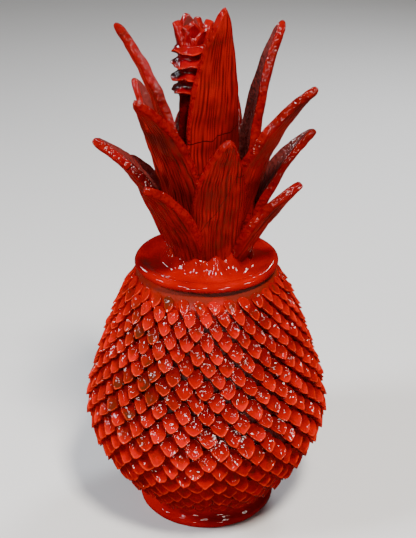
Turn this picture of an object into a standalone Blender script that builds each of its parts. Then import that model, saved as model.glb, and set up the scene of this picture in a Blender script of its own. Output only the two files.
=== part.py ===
"""Glazed clay pineapple: a hollow jar covered in pinched scales, and a lid with a crown of leaves."""

import math

import bmesh
import bpy
import numpy as np
from mathutils import Vector

# Driving dimensions, in metres. The origin is the middle of the foot's underside, and the
# front of the pineapple faces -Y. An azimuth is 0 at the front and grows towards +X.

# Jar
JAR_HEIGHT = 0.2512
FOOT_RADIUS = 0.0662
FOOT_WAIST_RADIUS = 0.0605
FOOT_WAIST_HEIGHT = 0.0150
FOOT_RING_TOP = 0.0060
FOOT_RING_BOTTOM = 0.0018
FOOT_CHAMFER = 0.0015
WALL_THICKNESS = 0.008
FLOOR_THICKNESS = 0.011
FLOOR_CORNER = 0.008
HOLLOW_START = 0.10
HOLLOW_END = 0.89
HOLLOW_STATIONS = 7
MOUTH_RADIUS = 0.0500
MOUTH_DEPTH = 0.008
RIM_RADIUS = 0.0580
RIM_ROUNDING = 0.0020
SHOULDER_DROP = 0.0050
TURN_STEPS = 26

# The clay wall under the scales, as heights and radii from the foot up to the shoulder
BODY_CURVE = [
    (0.0215, 0.0635),
    (0.0420, 0.0812),
    (0.0640, 0.0950),
    (0.0870, 0.1050),
    (0.1130, 0.1092),
    (0.1400, 0.1035),
    (0.1690, 0.0945),
    (0.1960, 0.0853),
    (0.2210, 0.0755),
    (0.2430, 0.0652),
]
CURVE_SAMPLES = 24

# Scales: staggered rows of pinched clay tabs with their free ends hanging down
SCALES_AROUND = 31
SCALE_ROWS = 22
SCALE_TIP_LIFT = 0.0082
SCALE_LEFT_LIFT = 0.0045
SCALE_RIGHT_LIFT = 0.0035
SCALE_TIP_SHIFT = 0.10
SCALE_LEFT_REACH = 0.33
SCALE_RIGHT_REACH = 0.34
SCALE_SHOULDER_DROP = 0.18
SCALE_UNEVENNESS = 0.0007
SCALE_SEED = 7

# Lid
LID_GAP = 0.0003
LID_RADIUS = 0.0656
LID_EDGE_THICKNESS = 0.0082
LID_EDGE_ROUNDING = 0.0020
LID_DISH_DEPTH = 0.0020
LID_DISH_RADIUS = 0.0526
RING_OUTER_RADIUS = 0.0472
RING_INNER_RADIUS = 0.0400
RING_DEPTH = 0.0115
RING_DRAFT = 0.0010
MOUND_RADIUS = 0.0385
MOUND_HEIGHT = 0.0285
MOUND_SKIRT = 0.006

# Crown: the middle of its stalk stands a little to the left of the jar's axis
STALK_X = -0.0120
STALK_Y = 0.004
STALK_RADIUS = 0.0115
STALK_TOP = 0.456
STALK_FOOT = ((0.2567, 0.0240), (0.296, 0.0215), (0.340, 0.0140))
COLLAR_HEIGHTS = (0.4155, 0.4270, 0.4385, 0.4500)
COLLAR_RADIUS = 0.0200
COLLAR_WAIST_RADIUS = 0.0130
COLLAR_HALF_HEIGHT = 0.0045
COLLAR_POINTS = 8

# Leaves, tier by tier: thickness and root height, then for each leaf the azimuth in degrees,
# the root's distance from the axis, the tip's distance and height, the bend in degrees
# and the width. They were cut and bent by hand, so no two are quite alike.
LEAF_TIERS = {
    "tall": {
        "thickness": 0.0085, "root_height": 0.2585,
        "leaves": [
            (22, 0.019, 0.041, 0.4940, 20, 0.0480),
            (98, 0.038, 0.0655, 0.4725, 20, 0.0440),
            (190, 0.017, 0.043, 0.4640, 18, 0.0380),
            (284, 0.021, 0.077, 0.4770, 31, 0.0370),
        ],
    },
    "upper": {
        "thickness": 0.0085, "root_height": 0.2591,
        "leaves": [
            (60, 0.028, 0.103, 0.4310, 29, 0.0530),
            (160, 0.020, 0.076, 0.3960, 22, 0.0420),
            (238, 0.021, 0.077, 0.4130, 22, 0.0400),
            (329, 0.021, 0.109, 0.4345, 33, 0.0420),
        ],
    },
    "middle": {
        "thickness": 0.0088, "root_height": 0.2585,
        "leaves": [
            (15, 0.026, 0.071, 0.3925, 20, 0.0490),
            (98, 0.033, 0.097, 0.3740, 36, 0.0350),
            (198, 0.026, 0.080, 0.3720, 24, 0.0420),
            (283, 0.022, 0.099, 0.3780, 34, 0.0400),
        ],
    },
    "lower": {
        "thickness": 0.0088, "root_height": 0.2579,
        "leaves": [
            (60, 0.031, 0.093, 0.3470, 18, 0.0370),
            (150, 0.029, 0.086, 0.3400, 18, 0.0380),
            (240, 0.029, 0.083, 0.3400, 18, 0.0370),
            (330, 0.027, 0.100, 0.3580, 25, 0.0380),
        ],
    },
}
LEAF_STATIONS = 6
LEAF_ROOT_WIDTH = 0.72
LEAF_TIP_WIDTH = 0.13
LEAF_WIDEST_AT = 0.42
LEAF_TAPER = 2.1
LEAF_CUP = 0.13
LEAF_THINNING = 0.3
LEAF_STATION_CROWDING = 1.5
LEAF_BEND_GROWTH = 1.7
LEAF_BEND_SAMPLES = 61

# Tuft on the stalk: the height, reach, bend in degrees and width of its short leaves
TUFT_HEIGHT = 0.0185
TUFT_ROOT = 0.0080
TUFT_ROOT_DEPTH = 0.004
TUFT_REACH = 0.0165
TUFT_BEND = 16
TUFT_WIDTH = 0.0130
TUFT_THICKNESS = 0.0065
TUFT_LEAVES = 4
TUFT_TURN = -10
TUFT_STATIONS = 3

MERGE_DISTANCE = 0.00001
SMOOTH_ANGLE = 40


def clear_scene():
    """Remove what the file starts with."""
    for thing in list(bpy.data.objects):
        bpy.data.objects.remove(thing, do_unlink=True)


def make_collection(name):
    """A collection linked to the scene."""
    collection = bpy.data.collections.new(name)
    bpy.context.scene.collection.children.link(collection)
    return collection


def make_material(name, colour, roughness):
    """A glazed clay colour."""
    material = bpy.data.materials.new(name)
    material.use_nodes = True
    shader = material.node_tree.nodes["Principled BSDF"]
    shader.inputs["Base Color"].default_value = (*colour, 1.0)
    shader.inputs["Roughness"].default_value = roughness
    shader.inputs["Metallic"].default_value = 0.0
    material.diffuse_color = (*colour, 1.0)
    return material


def add_object(name, mesh, collection):
    """Put a mesh into the scene as a named object."""
    thing = bpy.data.objects.new(name, mesh)
    collection.objects.link(thing)
    return thing


def mesh_from_bmesh(name, shape):
    """Finish a bmesh with its faces pointing out."""
    bmesh.ops.recalc_face_normals(shape, faces=shape.faces)
    mesh = bpy.data.meshes.new(name)
    shape.to_mesh(mesh)
    shape.free()
    return mesh


def bearing(azimuth):
    """Unit vector of an azimuth in radians."""
    return Vector((math.sin(azimuth), -math.cos(azimuth), 0.0))


def turned_object(name, profile, collection):
    """A solid turned about Z from a profile of radii and heights that runs down its outer side."""
    mesh = bpy.data.meshes.new(name)
    points = [(radius, 0.0, height) for radius, height in profile]
    edges = [(index, index + 1) for index in range(len(points) - 1)]
    mesh.from_pydata(points, edges, [])
    thing = add_object(name, mesh, collection)
    screw = thing.modifiers.new("turn", "SCREW")
    screw.steps = TURN_STEPS
    screw.render_steps = TURN_STEPS
    screw.use_merge_vertices = True
    screw.merge_threshold = MERGE_DISTANCE
    screw.use_normal_calculate = True
    return thing


def join_by_boolean(target, tool, operation):
    """Cut or join one solid with another, exactly."""
    boolean = target.modifiers.new(operation.lower(), "BOOLEAN")
    boolean.object = tool
    boolean.operation = operation
    boolean.solver = "EXACT"
    tool.hide_render = True
    tool.display_type = "WIRE"


def bake_modifiers(thing):
    """Keep the evaluated mesh and drop the modifiers that made it."""
    depsgraph = bpy.context.evaluated_depsgraph_get()
    mesh = bpy.data.meshes.new_from_object(thing.evaluated_get(depsgraph))
    thing.modifiers.clear()
    thing.data = mesh


def body_curve():
    """Sample the wall's smooth curve: heights, radii and distances along it, foot to shoulder."""
    knots = np.array(BODY_CURVE)
    padded = np.vstack([2 * knots[0] - knots[1], knots, 2 * knots[-1] - knots[-2]])
    steps = np.linspace(0.0, 1.0, CURVE_SAMPLES, endpoint=False)[:, None]
    pieces = []
    for index in range(len(knots) - 1):
        before, start, end, after = padded[index:index + 4]
        pieces.append(0.5 * (
            2 * start
            + (end - before) * steps
            + (2 * before - 5 * start + 4 * end - after) * steps ** 2
            + (3 * start - before - 3 * end + after) * steps ** 3
        ))
    samples = np.vstack(pieces + [knots[-1:]])
    lengths = np.hypot(*np.diff(samples, axis=0).T)
    return samples[:, 0], samples[:, 1], np.concatenate([[0.0], np.cumsum(lengths)])


CURVE_HEIGHTS, CURVE_RADII, CURVE_LENGTHS = body_curve()
CURVE_LENGTH = CURVE_LENGTHS[-1]
ROW_STEP = CURVE_LENGTH / (SCALE_ROWS + 1)
SCALE_PITCH = 2 * math.pi / SCALES_AROUND
CURVE_RISE = np.gradient(CURVE_HEIGHTS, CURVE_LENGTHS)
CURVE_SPREAD = np.gradient(CURVE_RADII, CURVE_LENGTHS)


def wall_point(azimuth, distance, lift):
    """A point on the body, by its distance down from the shoulder and its lift off the clay wall."""
    along = CURVE_LENGTH - distance
    height = np.interp(along, CURVE_LENGTHS, CURVE_HEIGHTS)
    radius = np.interp(along, CURVE_LENGTHS, CURVE_RADII)
    outwards = np.interp(along, CURVE_LENGTHS, CURVE_RISE)
    upwards = -np.interp(along, CURVE_LENGTHS, CURVE_SPREAD)
    return bearing(azimuth) * (radius + lift * outwards) + Vector((0.0, 0.0, height + lift * upwards))


def scale_size(distance):
    """How big a scale is at a distance down from the shoulder, as a share of the biggest."""
    radius = np.interp(CURVE_LENGTH - distance, CURVE_LENGTHS, CURVE_RADII)
    return radius / CURVE_RADII.max()


def scale_lattice(shape):
    """Crevice points where the scales meet, row by row from the shoulder down."""
    rows = []
    for row in range(SCALE_ROWS + 2):
        half_step = 0.5 * (row % 2)
        rows.append([
            shape.verts.new(wall_point((column + half_step) * SCALE_PITCH, row * ROW_STEP, 0.0))
            for column in range(SCALES_AROUND)
        ])
    return rows


def add_scale(shape, top, left, right, bottom, azimuth, row, lift_change):
    """One tab: a face that rises from its root to a lifted tip, over a steep underside."""
    shoulder_distance = (row + 1 + SCALE_SHOULDER_DROP) * ROW_STEP
    tip_distance = (row + 2) * ROW_STEP
    size = scale_size(tip_distance)
    tip = shape.verts.new(wall_point(
        azimuth + SCALE_TIP_SHIFT * SCALE_PITCH,
        tip_distance,
        SCALE_TIP_LIFT * size + lift_change,
    ))
    left_shoulder = shape.verts.new(wall_point(
        azimuth - SCALE_LEFT_REACH * SCALE_PITCH,
        shoulder_distance,
        SCALE_LEFT_LIFT * size + lift_change,
    ))
    right_shoulder = shape.verts.new(wall_point(
        azimuth + SCALE_RIGHT_REACH * SCALE_PITCH,
        shoulder_distance,
        SCALE_RIGHT_LIFT * size + lift_change,
    ))
    shape.faces.new((top, left_shoulder, tip))
    shape.faces.new((top, tip, right_shoulder))
    shape.faces.new((top, left, left_shoulder))
    shape.faces.new((top, right_shoulder, right))
    shape.faces.new((left, bottom, tip))
    shape.faces.new((left, tip, left_shoulder))
    shape.faces.new((bottom, right, right_shoulder))
    shape.faces.new((bottom, right_shoulder, tip))


def add_ring_below(shape, ring, radius, height):
    """Carry a ring of points on to a new radius and height, with a band of faces between."""
    below = []
    for point in ring:
        flat = Vector((point.co.x, point.co.y, 0.0)).normalized() * radius
        below.append(shape.verts.new(flat + Vector((0.0, 0.0, height))))
    for index in range(len(ring)):
        after = (index + 1) % len(ring)
        shape.faces.new((ring[index], below[index], below[after], ring[after]))
    return below


def jar_skin():
    """The jar's outside as a solid: foot, scaled body, shoulder and rim."""
    shape = bmesh.new()
    lattice = scale_lattice(shape)
    chance = np.random.default_rng(SCALE_SEED)
    for row in range(SCALE_ROWS):
        odd = row % 2
        for column in range(SCALES_AROUND):
            sides = lattice[row + 1]
            add_scale(
                shape,
                lattice[row][column],
                sides[column - 1 + odd],
                sides[(column + odd) % SCALES_AROUND],
                lattice[row + 2][column],
                (column + 0.5 * odd) * SCALE_PITCH,
                row,
                chance.uniform(-SCALE_UNEVENNESS, SCALE_UNEVENNESS),
            )
    for column in range(SCALES_AROUND):
        after = (column + 1) % SCALES_AROUND
        shape.faces.new((lattice[0][column], lattice[0][after], lattice[1][column]))
        last_full, last = lattice[-2], lattice[-1]
        shape.faces.new((last_full[column], last[column - 1], last[column]))
    ring = lattice[0]
    for radius, height in shoulder_profile():
        ring = add_ring_below(shape, ring, radius, height)
    shape.faces.new(ring)
    ring = lattice[-1]
    for radius, height in foot_profile():
        ring = add_ring_below(shape, ring, radius, height)
    shape.faces.new(ring)
    return mesh_from_bmesh("jar", shape)


def shoulder_profile():
    """Radii and heights of the smooth band from the first scales up to the rim."""
    start = CURVE_RADII[-1]
    return [
        (start - RIM_ROUNDING, JAR_HEIGHT - SHOULDER_DROP),
        (RIM_RADIUS + RIM_ROUNDING, JAR_HEIGHT - RIM_ROUNDING),
        (RIM_RADIUS, JAR_HEIGHT),
    ]


def foot_profile():
    """Radii and heights of the foot, from under the last scales down to the ground."""
    return [
        (FOOT_WAIST_RADIUS, FOOT_WAIST_HEIGHT),
        (FOOT_RADIUS - 2 * FOOT_CHAMFER, FOOT_RING_TOP + 2 * FOOT_CHAMFER),
        (FOOT_RADIUS, FOOT_RING_TOP),
        (FOOT_RADIUS, FOOT_RING_BOTTOM),
        (FOOT_RADIUS - FOOT_CHAMFER, 0.0),
    ]


def hollow_profile():
    """Radii and heights of the empty inside, from above the mouth down to the middle of the floor."""
    top = JAR_HEIGHT + MOUTH_DEPTH
    profile = [(0.0, top), (MOUTH_RADIUS, top), (MOUTH_RADIUS, JAR_HEIGHT - MOUTH_DEPTH)]
    for share in np.linspace(HOLLOW_START, HOLLOW_END, HOLLOW_STATIONS):
        point = wall_point(0.0, share * CURVE_LENGTH, -WALL_THICKNESS)
        profile.append((max(-point.y, MOUTH_RADIUS), point.z))
    floor_radius = FOOT_WAIST_RADIUS - WALL_THICKNESS
    profile.append((floor_radius, FLOOR_THICKNESS + FLOOR_CORNER))
    profile.append((floor_radius - FLOOR_CORNER, FLOOR_THICKNESS))
    profile.append((0.0, FLOOR_THICKNESS))
    return profile


def make_jar(parts, cutters, material):
    """The scaled jar, hollow and open at the mouth."""
    jar = add_object("jar", jar_skin(), parts)
    hollow = turned_object("jar_hollow", hollow_profile(), cutters)
    join_by_boolean(jar, hollow, "DIFFERENCE")
    jar.data.materials.append(material)
    return jar


def lid_profile():
    """Radii and heights of the lid's disc, with its mound on top and its locating ring below."""
    seat = JAR_HEIGHT + LID_GAP
    top = seat + LID_EDGE_THICKNESS
    return [
        (0.0, seat + MOUND_HEIGHT),
        (0.5 * MOUND_RADIUS, seat + 0.93 * MOUND_HEIGHT),
        (0.82 * MOUND_RADIUS, seat + 0.66 * MOUND_HEIGHT),
        (MOUND_RADIUS, seat + 0.36 * MOUND_HEIGHT),
        (MOUND_RADIUS + MOUND_SKIRT, top - 0.8 * LID_DISH_DEPTH),
        (LID_DISH_RADIUS, top - LID_DISH_DEPTH),
        (LID_RADIUS - 2.7 * LID_EDGE_ROUNDING, top),
        (LID_RADIUS - LID_EDGE_ROUNDING, top - 0.5 * LID_EDGE_ROUNDING),
        (LID_RADIUS, top - 2 * LID_EDGE_ROUNDING),
        (LID_RADIUS - 0.7 * LID_EDGE_ROUNDING, seat + 0.6 * LID_EDGE_ROUNDING),
        (LID_RADIUS - 2.2 * LID_EDGE_ROUNDING, seat),
        (RING_OUTER_RADIUS + RING_DRAFT, seat),
        (RING_OUTER_RADIUS, seat - RING_DEPTH),
        (RING_INNER_RADIUS, seat - RING_DEPTH),
        (RING_INNER_RADIUS - RING_DRAFT, seat),
        (0.0, seat),
    ]


def leaf_width(share):
    """Width of a leaf as a share of its full width, at a share of its length from the root."""
    if share < LEAF_WIDEST_AT:
        swell = math.sin(0.5 * math.pi * share / LEAF_WIDEST_AT)
        return LEAF_ROOT_WIDTH + (1.0 - LEAF_ROOT_WIDTH) * swell
    taper = (share - LEAF_WIDEST_AT) / (1.0 - LEAF_WIDEST_AT)
    return LEAF_TIP_WIDTH + (1.0 - LEAF_TIP_WIDTH) * (1.0 - taper ** LEAF_TAPER)


def add_leaf(shape, centre, azimuth, root, tip, bend, width, thickness, stations):
    """A cupped slab of clay that bends more and more towards its tip, in the plane of its azimuth."""
    outwards = bearing(azimuth)
    sideways = outwards.cross(Vector((0.0, 0.0, 1.0)))
    chord_lean = math.atan2(tip[0] - root[0], tip[1] - root[1])
    chord = math.hypot(tip[0] - root[0], tip[1] - root[1])
    shares = np.linspace(0.0, 1.0, LEAF_BEND_SAMPLES)
    leans = bend * shares ** LEAF_BEND_GROWTH
    run = np.concatenate([[0.0], np.cumsum(np.sin(0.5 * (leans[1:] + leans[:-1])))])
    climb = np.concatenate([[0.0], np.cumsum(np.cos(0.5 * (leans[1:] + leans[:-1])))])
    scale = chord / math.hypot(run[-1], climb[-1])
    start_lean = chord_lean - math.atan2(run[-1], climb[-1])
    previous = None
    for station in range(stations + 1):
        share = 1.0 - (1.0 - station / stations) ** LEAF_STATION_CROWDING
        lean = start_lean + bend * share ** LEAF_BEND_GROWTH
        along = scale * np.interp(share, shares, climb)
        across = scale * np.interp(share, shares, run)
        reach = root[0] + along * math.sin(start_lean) + across * math.cos(start_lean)
        height = root[1] + along * math.cos(start_lean) - across * math.sin(start_lean)
        spine = centre + outwards * reach + Vector((0.0, 0.0, height))
        outer_face = outwards * math.cos(lean) - Vector((0.0, 0.0, math.sin(lean)))
        half_width = 0.5 * width * leaf_width(share)
        half_thick = 0.5 * thickness * (1.0 - LEAF_THINNING * share)
        cup = LEAF_CUP * 2 * half_width
        ring = []
        for side, depth in ((-1, 1), (0, 1), (1, 1), (1, -1), (0, -1), (-1, -1)):
            sink = cup * side * side
            offset = sideways * (side * half_width) + outer_face * (depth * half_thick - sink)
            ring.append(shape.verts.new(spine + offset))
        if previous is None:
            shape.faces.new(ring)
        else:
            for index in range(6):
                after = (index + 1) % 6
                shape.faces.new((previous[index], previous[after], ring[after], ring[index]))
        previous = ring
    shape.faces.new(previous)


def leaf_objects(cutters):
    """One solid for each leaf of the crown."""
    leaves = []
    for tier, sizes in LEAF_TIERS.items():
        for number, (azimuth, root, reach, height, bend, width) in enumerate(sizes["leaves"]):
            shape = bmesh.new()
            add_leaf(
                shape, Vector(), math.radians(azimuth), (root, sizes["root_height"]), (reach, height),
                math.radians(bend), width, sizes["thickness"], LEAF_STATIONS,
            )
            name = f"leaf_{tier}_{number}"
            leaves.append(add_object(name, mesh_from_bmesh(name, shape), cutters))
    return leaves


def stalk_rings():
    """Heights of the stalk's rings, each with its radius at the points and between them."""
    rings = [(height, radius, radius) for height, radius in STALK_FOOT]
    rings.append((COLLAR_HEIGHTS[0] - 3 * COLLAR_HALF_HEIGHT, STALK_RADIUS, STALK_RADIUS))
    for height in COLLAR_HEIGHTS:
        rings.append((height - COLLAR_HALF_HEIGHT, COLLAR_WAIST_RADIUS, STALK_RADIUS))
        rings.append((height, COLLAR_RADIUS, COLLAR_WAIST_RADIUS))
    rings.append((COLLAR_HEIGHTS[-1] + 0.7 * COLLAR_HALF_HEIGHT, COLLAR_WAIST_RADIUS, STALK_RADIUS))
    rings.append((STALK_TOP, STALK_RADIUS, STALK_RADIUS))
    return rings


def stalk_object(cutters):
    """The middle stalk with its pointed collars."""
    shape = bmesh.new()
    previous = None
    count = 2 * COLLAR_POINTS
    for height, point_radius, gap_radius in stalk_rings():
        ring = []
        for index in range(count):
            radius = point_radius if index % 2 == 0 else gap_radius
            spot = bearing(2 * math.pi * index / count) * radius
            ring.append(shape.verts.new(spot + Vector((STALK_X, STALK_Y, height))))
        if previous is None:
            shape.faces.new(ring)
        else:
            for index in range(count):
                after = (index + 1) % count
                shape.faces.new((previous[index], previous[after], ring[after], ring[index]))
        previous = ring
    shape.faces.new(previous)
    return add_object("stalk", mesh_from_bmesh("stalk", shape), cutters)


def tuft_objects(cutters):
    """The short leaves that stand on the stalk."""
    leaves = []
    centre = Vector((STALK_X, STALK_Y, 0.0))
    for number in range(TUFT_LEAVES):
        shape = bmesh.new()
        azimuth = math.radians(TUFT_TURN) + 2 * math.pi * number / TUFT_LEAVES
        root = (TUFT_ROOT, STALK_TOP - TUFT_ROOT_DEPTH)
        tip = (TUFT_REACH, STALK_TOP + TUFT_HEIGHT)
        bend = math.radians(TUFT_BEND)
        add_leaf(shape, centre, azimuth, root, tip, bend, TUFT_WIDTH, TUFT_THICKNESS, TUFT_STATIONS)
        name = f"tuft_{number}"
        leaves.append(add_object(name, mesh_from_bmesh(name, shape), cutters))
    return leaves


def make_lid(parts, cutters, material):
    """The lid: disc, mound, stalk and leaves, modelled together and fired as one piece."""
    lid = turned_object("lid", lid_profile(), parts)
    for piece in [stalk_object(cutters)] + tuft_objects(cutters) + leaf_objects(cutters):
        join_by_boolean(lid, piece, "UNION")
    lid.data.materials.append(material)
    return lid


def fill_closed_gaps(mesh):
    """Keep the outer shell alone, so that the clay is solid where leaf roots press together."""
    ends = np.zeros(2 * len(mesh.edges), dtype=np.int64)
    mesh.edges.foreach_get("vertices", ends)
    starts, stops = ends.reshape(-1, 2).T
    shell = np.arange(len(mesh.vertices))
    changed = True
    while changed:
        lowest = np.minimum(shell[starts], shell[stops])
        spread = shell.copy()
        np.minimum.at(spread, starts, lowest)
        np.minimum.at(spread, stops, lowest)
        changed = bool((spread != shell).any())
        shell = spread
    names, counts = np.unique(shell, return_counts=True)
    outer = names[counts.argmax()]
    shape = bmesh.new()
    shape.from_mesh(mesh)
    inner = [point for point in shape.verts if shell[point.index] != outer]
    bmesh.ops.delete(shape, geom=inner, context="VERTS")
    shape.to_mesh(mesh)
    shape.free()


def finish(thing):
    """Shade round forms smooth and keep the cut edges sharp."""
    bake_modifiers(thing)
    fill_closed_gaps(thing.data)
    thing.data.shade_smooth()
    thing.data.set_sharp_from_angle(angle=math.radians(SMOOTH_ANGLE))


def main():
    clear_scene()
    parts = make_collection("glazed_clay_pineapple")
    cutters = make_collection("cutters")
    jar_glaze = make_material("jar_glaze", (0.42, 0.008, 0.010), 0.16)
    lid_glaze = make_material("lid_glaze", (0.40, 0.010, 0.010), 0.18)
    finish(make_jar(parts, cutters, jar_glaze))
    finish(make_lid(parts, cutters, lid_glaze))


main()
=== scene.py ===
"""Looks of the glazed clay pineapple: pinched scales, ribbed leaves, ruffled stalk and red glaze."""
import math

import bpy
import numpy as np
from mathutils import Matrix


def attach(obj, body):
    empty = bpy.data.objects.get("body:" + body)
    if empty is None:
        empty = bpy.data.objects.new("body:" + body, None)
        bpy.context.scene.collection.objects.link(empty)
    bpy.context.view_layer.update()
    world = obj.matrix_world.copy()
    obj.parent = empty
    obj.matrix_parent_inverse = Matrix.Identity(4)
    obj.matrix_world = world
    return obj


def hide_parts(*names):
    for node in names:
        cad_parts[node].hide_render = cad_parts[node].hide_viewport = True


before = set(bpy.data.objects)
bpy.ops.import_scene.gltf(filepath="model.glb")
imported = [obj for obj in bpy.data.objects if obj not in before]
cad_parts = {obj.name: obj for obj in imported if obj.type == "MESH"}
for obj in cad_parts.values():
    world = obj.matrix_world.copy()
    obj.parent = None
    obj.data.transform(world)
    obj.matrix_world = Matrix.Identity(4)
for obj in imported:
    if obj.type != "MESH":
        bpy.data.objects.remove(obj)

bl_info = {
    "name": "Glazed Clay Pineapple",
    "version": (1, 0, 0),
    "blender": (4, 5, 0),
    "location": "View3D > Sidebar > Pineapple",
    "description": "Builds the scales, leaves and red glaze of a lidded clay pineapple, and its stage",
    "category": "Object",
}

MM = 0.001
TURN = 2 * math.pi
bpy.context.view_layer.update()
BODY = "root"

# The camera stands in front of the pineapple and looks down on it. The picture's height, the
# focal length and how far the axis lies left of the picture's middle are in pixels.
PICTURE_HEIGHT = 538
CAMERA_DISTANCE = 952.8 * MM
CAMERA_HEIGHT = 710.4 * MM
CAMERA_PITCH = 26.036
FOCAL_PIXELS = 1156.0
AXIS_PIXELS = 1.7
SENSOR_HEIGHT = 36.0

# The clay wall under the scales, as heights and radii from the foot up to the shoulder
BODY_CURVE = np.array([
    (21.5, 63.5), (42.0, 81.2), (64.0, 95.0), (87.0, 105.0), (113.0, 109.2),
    (140.0, 103.5), (169.0, 94.5), (196.0, 85.3), (221.0, 75.5), (243.0, 65.2),
]) * MM
CURVE_SAMPLES = 24
JAR_COLUMNS = 168

# The jar's mouth and floor, and the turned profile of its waist, foot and underside as radii
# and heights, where the first two count the radius from the waist's and the foot's. The last
# BARE_POINTS of it are bare clay.
MOUTH_RADIUS = 50.0 * MM
RIM_RADIUS = 58.5 * MM
RIM_ROUNDING = 1.6 * MM
FLOOR_HEIGHT = 11.0 * MM
FLOOR_ROUNDING = 8.0 * MM
WAIST_PROFILE = np.array([(0.6, 17.6), (0.0, 15.2), (0.2, 12.6), (1.4, 10.4)]) * MM
FOOT_PROFILE = np.array([
    (-2.4, 8.6), (-0.9, 7.3), (-0.1, 5.6), (0.0, 3.8), (-0.3, 1.9), (-1.1, 0.6), (-2.4, 0.0),
    (-9.0, 0.0), (-10.5, 0.9), (-13.0, 1.4),
]) * MM
UNDERSIDE = np.array([(20.0, 1.4), (8.0, 1.4)]) * MM
BARE_POINTS = 6

# Scales: rows and columns of the lattice. An outline point is a share of the pitch across and
# of a row's step down, from the tip round by the right, the top and the left.
SCALES_AROUND = 31
SCALE_ROWS = 22
SCALE_BANDS = {"upper": (-1, 8), "middle": (8, 15), "lower": (15, SCALE_ROWS)}
SCALE_SEED = 7
TAB_OUTLINE = np.array([
    (0.05, 2.06), (0.17, 1.91), (0.27, 1.71), (0.36, 1.47), (0.35, 1.10), (0.29, 0.72), (0.14, 0.45),
    (-0.02, 0.35), (-0.18, 0.45), (-0.33, 0.70), (-0.415, 1.08), (-0.30, 1.42), (-0.19, 1.70),
    (-0.07, 1.90),
])
# How sharply the lip is creased at each point of the outline
TAB_CORNERS = np.array([0.7, 0, 0, 0.8, 0, 0, 0, 0, 0, 0, 0.8, 0, 0, 0])
# Middle of the outline, and from where to where and to which power the face climbs
TAB_CENTRE = np.array([-0.01, 1.20])
TAB_TOP = 0.20
TAB_CLIMB = 0.9
TAB_LOWEST = 2.10
# How much smaller the lowest scales are, and how much of their upper half the two top rows lack
LOW_SHRINK = 0.16
TOP_TABS_SHORTER = [0.50, 0.40]
# Hand work: how far the scales differ from one another, as shares of the lattice or of a size
DENT_ACROSS, DENT_DOWN = 0.022, 0.035
SIZE_CHANGE = 0.08
SKEW = 0.07
TWIST = 0.22
SLIDE = 0.06
LIFT_CHANGE = 0.7 * MM
TILT = 1.8 * MM
# Rings of one tab from the middle of its face out to its lip and back under it: the share of
# the outline that a ring takes, and how far it lies below the lip in millimetres
TAB_FACE_RINGS = np.array([0.50, 0.91, 1.0])
TAB_UNDER_RINGS = np.array([(1.0, 5.2), (0.94, 10.0)])

# Leaves, tier by tier, as azimuth in degrees, root radius, tip radius and tip height in
# millimetres, bend in degrees, width in millimetres and the share of it that is left at the root
LEAF_TIERS = {
    "tall": {
        "thickness": 8.5, "root_height": 258.5,
        "leaves": [
            (22, 19, 41, 494.0, 20, 48, 0.72), (98, 38, 65.5, 472.5, 20, 44, 0.72),
            (190, 17, 43, 464.0, 18, 38, 0.72), (284, 21, 77, 477.0, 31, 37, 0.72),
        ],
    },
    "upper": {
        "thickness": 8.5, "root_height": 259.1,
        "leaves": [
            (58, 22, 105, 434.0, 31, 46, 0.36), (160, 20, 76, 396.0, 22, 42, 0.72),
            (238, 21, 77, 413.0, 22, 40, 0.72), (329, 21, 109, 434.5, 33, 42, 0.72),
        ],
    },
    "middle": {
        "thickness": 8.8, "root_height": 258.5,
        "leaves": [
            (15, 31, 74, 394.0, 18, 47, 0.72), (98, 33, 97, 374.0, 36, 35, 0.72),
            (198, 26, 80, 372.0, 24, 42, 0.72), (283, 22, 99, 378.0, 34, 40, 0.72),
        ],
    },
    "lower": {
        "thickness": 8.8, "root_height": 257.9,
        "leaves": [
            (60, 31, 93, 347.0, 18, 37, 0.72), (150, 29, 86, 340.0, 18, 38, 0.72),
            (240, 29, 83, 340.0, 18, 37, 0.72), (330, 27, 100, 358.0, 25, 38, 0.72),
        ],
    },
}
# What all leaves share. The widths, the widest place and the thinning are shares of the leaf's
# own width, length and thickness; the others are powers, counts and lengths.
LEAF_TIP_WIDTH = 0.09
LEAF_WIDEST_AT = 0.42
LEAF_TAPER = 2.1
LEAF_CUP = 0.13
LEAF_THINNING = 0.15
LEAF_ROUNDING = 2.0 * MM
LEAF_BEND_GROWTH = 1.7
LEAF_BLUNT_END = 0.045
SPINE_STEPS = 200
LEAF_ROWS = 64
LEAF_FACE_COLUMNS = 112
LEAF_BACK_COLUMNS = 22
FAR_FROM_CRACK = 30.0
RIB_PITCH = 3.1 * MM
RIB_DEPTH = 0.9 * MM

# Cracks across a leaf, by tier and number: how far up it is, how much higher on the right than
# on the left, how much it wanders, and between which sides, -1 being the left and 1 the right
LEAF_MARKS = {
    ("tall", 0): [(0.512, -0.029, 0.007, -1.2, 1.2)],
    ("middle", 0): [(0.72, 0.010, 0.006, -1.2, -0.55)],
    ("middle", 3): [(0.78, 0.020, 0.010, -1.2, -0.3), (0.50, -0.030, 0.010, -1.2, -0.5)],
}

# Disc of the lid: its dish and roll, and the locating ring below it as radii and heights over
# the disc's flat underside
DISC_COLUMNS = 224
ROLL_REACH = 5.0 * MM
RING_PROFILE = np.array([
    (52.0, 0.0), (48.6, 0.0), (47.4, -1.0), (47.2, -6.0), (47.0, -10.6), (46.2, -11.5),
    (41.0, -11.5), (40.1, -10.6), (39.8, -5.0), (39.4, -1.0), (38.2, 0.0), (24.0, 0.0), (8.0, 0.0),
]) * MM

# Lumps of clay pressed against the leaves' roots: azimuth in degrees, then the distance from
# the axis, the spread and the height in millimetres
MOUND_LUMPS = np.array([
    (12, 40, 7.5, 15), (38, 36, 7, 17), (-14, 36, 7, 16), (64, 36, 6, 8), (-42, 36, 6, 8),
    (98, 30, 9, 7), (128, 29, 8, 5), (175, 31, 9, 8), (222, 29, 7, 6), (283, 28, 8, 7), (252, 29, 7, 5),
])

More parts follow.
